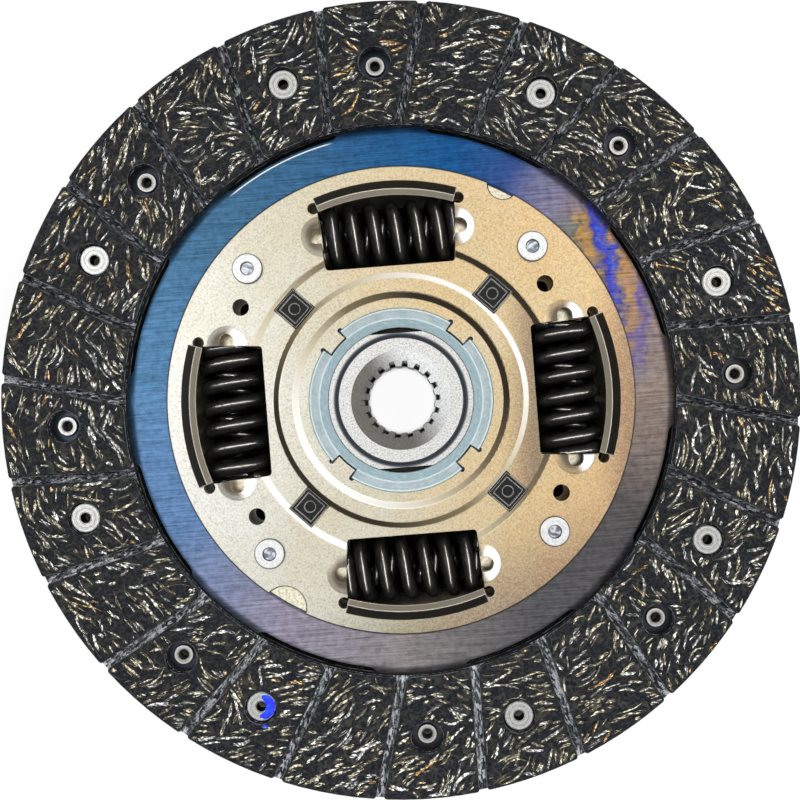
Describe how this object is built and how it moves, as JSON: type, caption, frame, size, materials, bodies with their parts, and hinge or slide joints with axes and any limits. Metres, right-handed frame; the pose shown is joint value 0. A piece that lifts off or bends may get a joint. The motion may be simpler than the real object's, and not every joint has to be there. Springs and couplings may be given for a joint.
{
  "type": "clutch disc",
  "caption": "Round friction disc with grooved, riveted facings on a blued cushion disc, and a spring-damped splined hub held between two stamped covers.",
  "frame": {"origin": "centre of the hub's rear end face, on which the disc rests, on the disc's axis", "axes": "+Z along the disc's axis towards the front (flywheel) facing; +X through the middle of one spring window"},
  "size_m": [0.215, 0.215, 0.0222],
  "materials": {
    "facing": "moulded compound with cut fibres",
    "blued_steel": "heat-blued spring steel",
    "rivet_steel": "bright zinc",
    "cover_plating": "pale yellow passivated zinc",
    "hub_steel": "machined and blasted",
    "spring_black": "oil-blackened spring wire",
    "nylon": "natural moulded nylon",
    "black_plastic": "moulded",
    "washer_steel": "plain spring steel"
  },
  "bodies": {
    "driven_plate": {"front_facing": "facing", "rear_facing": "facing", "cushion_disc": "blued_steel", "facing_rivets_front": "rivet_steel", "facing_rivets_rear": "rivet_steel", "front_cover": "cover_plating", "rear_cover": "cover_plating", "stop_rivets": "rivet_steel", "guide_bush": "nylon", "friction_ring": "black_plastic", "friction_washer": "black_plastic", "support_ring": "washer_steel", "disc_spring": "washer_steel", "rear_bush": "nylon"},
    "hub": {"hub": "hub_steel", "hub_flange": "hub_steel"},
    "damper_springs": {"damper_spring_1": "spring_black", "damper_spring_2": "spring_black", "damper_spring_3": "spring_black", "damper_spring_4": "spring_black", "inner_spring_1": "spring_black", "inner_spring_2": "spring_black", "inner_spring_3": "spring_black", "inner_spring_4": "spring_black"}
  },
  "joints": [
    {"name": "hub_twist", "type": "hinge", "parent": "driven_plate", "child": "hub", "pos_m": [0, 0, 0.013], "axis": [0, 0, 1], "range_deg": [-8, 8], "stiffness_Nm_per_rad": 900, "deforming": ["damper_spring_1", "damper_spring_2", "damper_spring_3", "damper_spring_4", "inner_spring_1", "inner_spring_2", "inner_spring_3", "inner_spring_4"]},
    {"name": "spring_follow", "type": "hinge", "parent": "driven_plate", "child": "damper_springs", "pos_m": [0, 0, 0.013], "axis": [0, 0, 1], "range_deg": [-4, 4]}
  ],
  "couplings": [
    {"joint": "spring_follow", "follows": "hub_twist", "ratio": 0.5}
  ]
}
